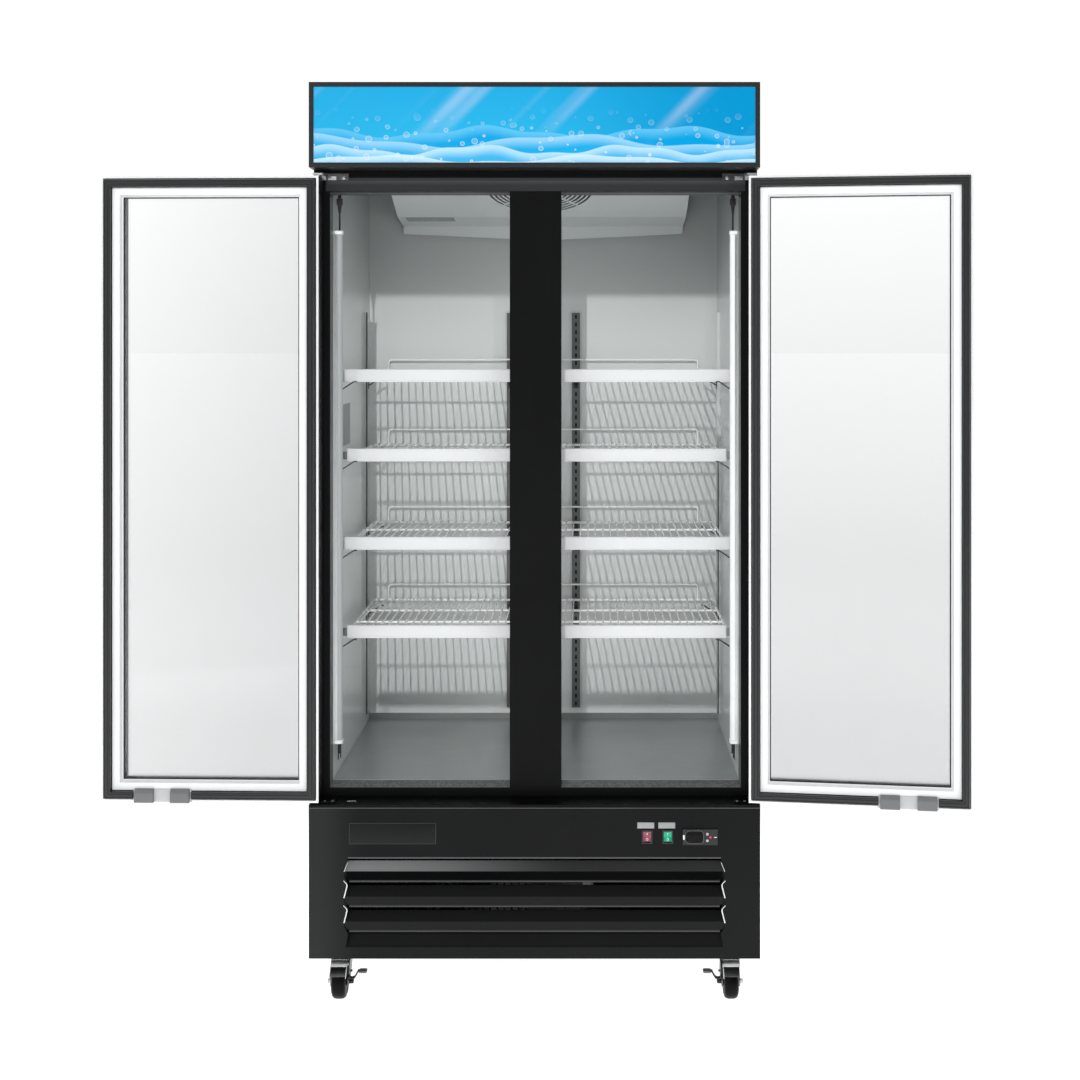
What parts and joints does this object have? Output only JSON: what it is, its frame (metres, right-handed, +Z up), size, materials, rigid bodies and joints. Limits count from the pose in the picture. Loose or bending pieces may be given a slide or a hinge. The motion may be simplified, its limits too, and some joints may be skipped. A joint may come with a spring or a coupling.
{
  "type": "glass door commercial refrigerator",
  "caption": "Upright display refrigerator with a lit header, hinged glass doors, wire shelves, a louvred machine base and swivel casters.",
  "frame": {"origin": "on the floor, midway between the cabinet's sides, and midway between the front plane of header and base and the back of the cabinet", "axes": "+X to the right as seen from the front, +Y from the front to the back, +Z up"},
  "size_m": [1.9276, 0.7731, 2.05],
  "materials": {
    "cabinet_black": "satin powder coat",
    "foam": "matte foam",
    "liner_pale": "glossy coated sheet",
    "floor_metal": "brushed",
    "frame_black": "satin powder coat",
    "mullion_black": "satin powder coat",
    "breaker_dark": "satin plastic",
    "cover_white": "satin plastic",
    "coil_metal": "thin fins",
    "motor_grey": "satin",
    "pilaster_metal": "satin",
    "clip_dark": "satin",
    "led_diffuser": "milky diffuser",
    "cable_black": "satin",
    "header_black": "satin powder coat",
    "sign_print": "glossy printed sheet",
    "lamp_white": "milky diffuser",
    "base_black": "satin powder coat",
    "pan_zinc": "zinc coated",
    "rear_black": "satin powder coat",
    "gland_black": "matte",
    "compressor_black": "gloss",
    "evap_pan_black": "matte",
    "copper": "drawn copper tube",
    "hinge_chrome": "polished",
    "control_black": "gloss",
    "caster_chrome": "polished",
    "screw_zinc": "zinc coated",
    "fan_grey": "matte",
    "fan_black": "matte",
    "rocker_red": "translucent gloss",
    "rocker_green": "translucent gloss",
    "button_grey": "satin",
    "button_grey_2": "satin",
    "fork_chrome_left": "polished",
    "fork_chrome_right": "polished",
    "wheel_black_1": "satin rubber",
    "wheel_black_2": "satin rubber",
    "wheel_black_3": "satin rubber",
    "wheel_black_4": "satin rubber",
    "pedal_chrome_left": "polished",
    "pedal_chrome_right": "polished",
    "left_door_alloy": "anodised",
    "left_door_inner": "satin plastic",
    "left_door_glass": "clear double glazing",
    "left_door_gasket": "soft magnetic gasket",
    "left_door_bumper": "satin plastic",
    "shelf_white_left_1": "white coated wire",
    "shelf_white_left_2": "white coated wire",
    "shelf_white_left_3": "white coated wire",
    "shelf_white_left_4": "white coated wire",
    "right_door_alloy": "anodised",
    "right_door_inner": "satin plastic",
    "right_door_glass": "clear double glazing",
    "right_door_gasket": "soft magnetic gasket",
    "right_door_bumper": "satin plastic",
    "shelf_white_right_1": "white coated wire",
    "shelf_white_right_2": "white coated wire",
    "shelf_white_right_3": "white coated wire",
    "shelf_white_right_4": "white coated wire"
  },
  "bodies": {
    "cabinet": {"outer_shell": "cabinet_black", "insulation": "foam", "liner": "liner_pale", "floor_panel": "floor_metal", "front_frame": "frame_black", "mullion": "mullion_black", "breaker_strip": "breaker_dark", "evaporator_cover": "cover_white", "finned_coils": "coil_metal", "fan_motors": "motor_grey", "pilasters": "pilaster_metal", "shelf_clips": "clip_dark", "led_bars": "led_diffuser", "led_cables": "cable_black", "header_box": "header_black", "sign_panel": "sign_print", "header_lamps": "lamp_white", "base_panel": "base_black", "base_pan": "pan_zinc", "rear_panel": "rear_black", "cord_gland": "gland_black", "compressor": "compressor_black", "evaporation_pan": "evap_pan_black", "refrigerant_lines": "copper", "hinge_plates": "hinge_chrome", "control_housings": "control_black", "caster_mounts": "caster_chrome", "screws": "screw_zinc"},
    "evaporator_fan": {"evaporator_fan": "fan_grey"},
    "condenser_fan": {"condenser_fan": "fan_black"},
    "power_rocker": {"power_rocker": "rocker_red"},
    "light_rocker": {"light_rocker": "rocker_green"},
    "up_button": {"up_button": "button_grey"},
    "down_button": {"down_button": "button_grey_2"},
    "front_left_fork": {"front_left_fork": "fork_chrome_left"},
    "front_left_wheel": {"front_left_wheel": "wheel_black_1"},
    "rear_left_wheel": {"rear_left_wheel": "wheel_black_3"},
    "left_brake_pedal": {"left_brake_pedal": "pedal_chrome_left"},
    "left_door": {"left_door_frame": "left_door_alloy", "left_inner_frame": "left_door_inner", "left_glass": "left_door_glass", "left_gasket": "left_door_gasket", "left_bumper": "left_door_bumper"},
    "shelf_left_1": {"shelf_left_1": "shelf_white_left_1"},
    "shelf_left_2": {"shelf_left_2": "shelf_white_left_2"},
    "shelf_left_3": {"shelf_left_3": "shelf_white_left_3"},
    "shelf_left_4": {"shelf_left_4": "shelf_white_left_4"},
    "front_right_fork": {"front_right_fork": "fork_chrome_right"},
    "front_right_wheel": {"front_right_wheel": "wheel_black_2"},
    "rear_right_wheel": {"rear_right_wheel": "wheel_black_4"},
    "right_brake_pedal": {"right_brake_pedal": "pedal_chrome_right"},
    "right_door": {"right_door_frame": "right_door_alloy", "right_inner_frame": "right_door_inner", "right_glass": "right_door_glass", "right_gasket": "right_door_gasket", "right_bumper": "right_door_bumper"},
    "shelf_right_1": {"shelf_right_1": "shelf_white_right_1"},
    "shelf_right_2": {"shelf_right_2": "shelf_white_right_2"},
    "shelf_right_3": {"shelf_right_3": "shelf_white_right_3"},
    "shelf_right_4": {"shelf_right_4": "shelf_white_right_4"}
  },
  "joints": [
    {"name": "evaporator_fan_spin", "type": "hinge", "parent": "cabinet", "child": "evaporator_fan", "pos_m": [0, 0.003, 1.84999], "axis": [0, 0.3502, 0.9367], "continuous": true},
    {"name": "condenser_fan_spin", "type": "hinge", "parent": "cabinet", "child": "condenser_fan", "pos_m": [-0.2, -0.248, 0.238], "axis": [0, 1, 0], "continuous": true},
    {"name": "power_rocker_tilt", "type": "hinge", "parent": "cabinet", "child": "power_rocker", "pos_m": [0.2495, -0.344, 0.378], "axis": [1, 0, 0], "range_deg": [0, 16]},
    {"name": "light_rocker_tilt", "type": "hinge", "parent": "cabinet", "child": "light_rocker", "pos_m": [0.295, -0.344, 0.378], "axis": [1, 0, 0], "range_deg": [0, 16]},
    {"name": "up_button_press", "type": "slide", "parent": "cabinet", "child": "up_button", "axis": [0, 1, 0], "range_m": [0, 0.0008], "stiffness_N_per_m": 150},
    {"name": "down_button_press", "type": "slide", "parent": "cabinet", "child": "down_button", "axis": [0, 1, 0], "range_m": [0, 0.0008], "stiffness_N_per_m": 150},
    {"name": "front_left_swivel", "type": "hinge", "parent": "cabinet", "child": "front_left_fork", "pos_m": [-0.439, -0.268, 0.097], "axis": [0, 0, 1], "continuous": true},
    {"name": "front_left_roll", "type": "hinge", "parent": "front_left_fork", "child": "front_left_wheel", "pos_m": [-0.439, -0.298, 0.0375], "axis": [1, 0, 0], "continuous": true},
    {"name": "rear_left_roll", "type": "hinge", "parent": "cabinet", "child": "rear_left_wheel", "pos_m": [-0.439, 0.298, 0.0375], "axis": [1, 0, 0], "continuous": true},
    {"name": "left_brake", "type": "hinge", "parent": "front_left_fork", "child": "left_brake_pedal", "pos_m": [-0.439, -0.296, 0.0595], "axis": [1, 0, 0], "range_deg": [0, 14]},
    {"name": "left_door_hinge", "type": "hinge", "parent": "cabinet", "child": "left_door", "pos_m": [-0.483, -0.325, 1.147], "axis": [0, 0, 1], "range_deg": [0, 181.5]},
    {"name": "shelf_left_1_lift", "type": "slide", "parent": "cabinet", "child": "shelf_left_1", "axis": [0, 0, 1], "range_m": [0, 0.025]},
    {"name": "shelf_left_2_lift", "type": "slide", "parent": "cabinet", "child": "shelf_left_2", "axis": [0, 0, 1], "range_m": [0, 0.025]},
    {"name": "shelf_left_3_lift", "type": "slide", "parent": "cabinet", "child": "shelf_left_3", "axis": [0, 0, 1], "range_m": [0, 0.025]},
    {"name": "shelf_left_4_lift", "type": "slide", "parent": "cabinet", "child": "shelf_left_4", "axis": [0, 0, 1], "range_m": [0, 0.025]},
    {"name": "front_right_swivel", "type": "hinge", "parent": "cabinet", "child": "front_right_fork", "pos_m": [0.439, -0.268, 0.097], "axis": [0, 0, 1], "continuous": true},
    {"name": "front_right_roll", "type": "hinge", "parent": "front_right_fork", "child": "front_right_wheel", "pos_m": [0.439, -0.298, 0.0375], "axis": [1, 0, 0], "continuous": true},
    {"name": "rear_right_roll", "type": "hinge", "parent": "cabinet", "child": "rear_right_wheel", "pos_m": [0.439, 0.298, 0.0375], "axis": [1, 0, 0], "continuous": true},
    {"name": "right_brake", "type": "hinge", "parent": "front_right_fork", "child": "right_brake_pedal", "pos_m": [0.439, -0.296, 0.0595], "axis": [1, 0, 0], "range_deg": [0, 14]},
    {"name": "right_door_hinge", "type": "hinge", "parent": "cabinet", "child": "right_door", "pos_m": [0.483, -0.325, 1.147], "axis": [0, 0, -1], "range_deg": [-9, 172.5]},
    {"name": "shelf_right_1_lift", "type": "slide", "parent": "cabinet", "child": "shelf_right_1", "axis": [0, 0, 1], "range_m": [0, 0.025]},
    {"name": "shelf_right_2_lift", "type": "slide", "parent": "cabinet", "child": "shelf_right_2", "axis": [0, 0, 1], "range_m": [0, 0.025]},
    {"name": "shelf_right_3_lift", "type": "slide", "parent": "cabinet", "child": "shelf_right_3", "axis": [0, 0, 1], "range_m": [0, 0.025]},
    {"name": "shelf_right_4_lift", "type": "slide", "parent": "cabinet", "child": "shelf_right_4", "axis": [0, 0, 1], "range_m": [0, 0.025]}
  ]
}
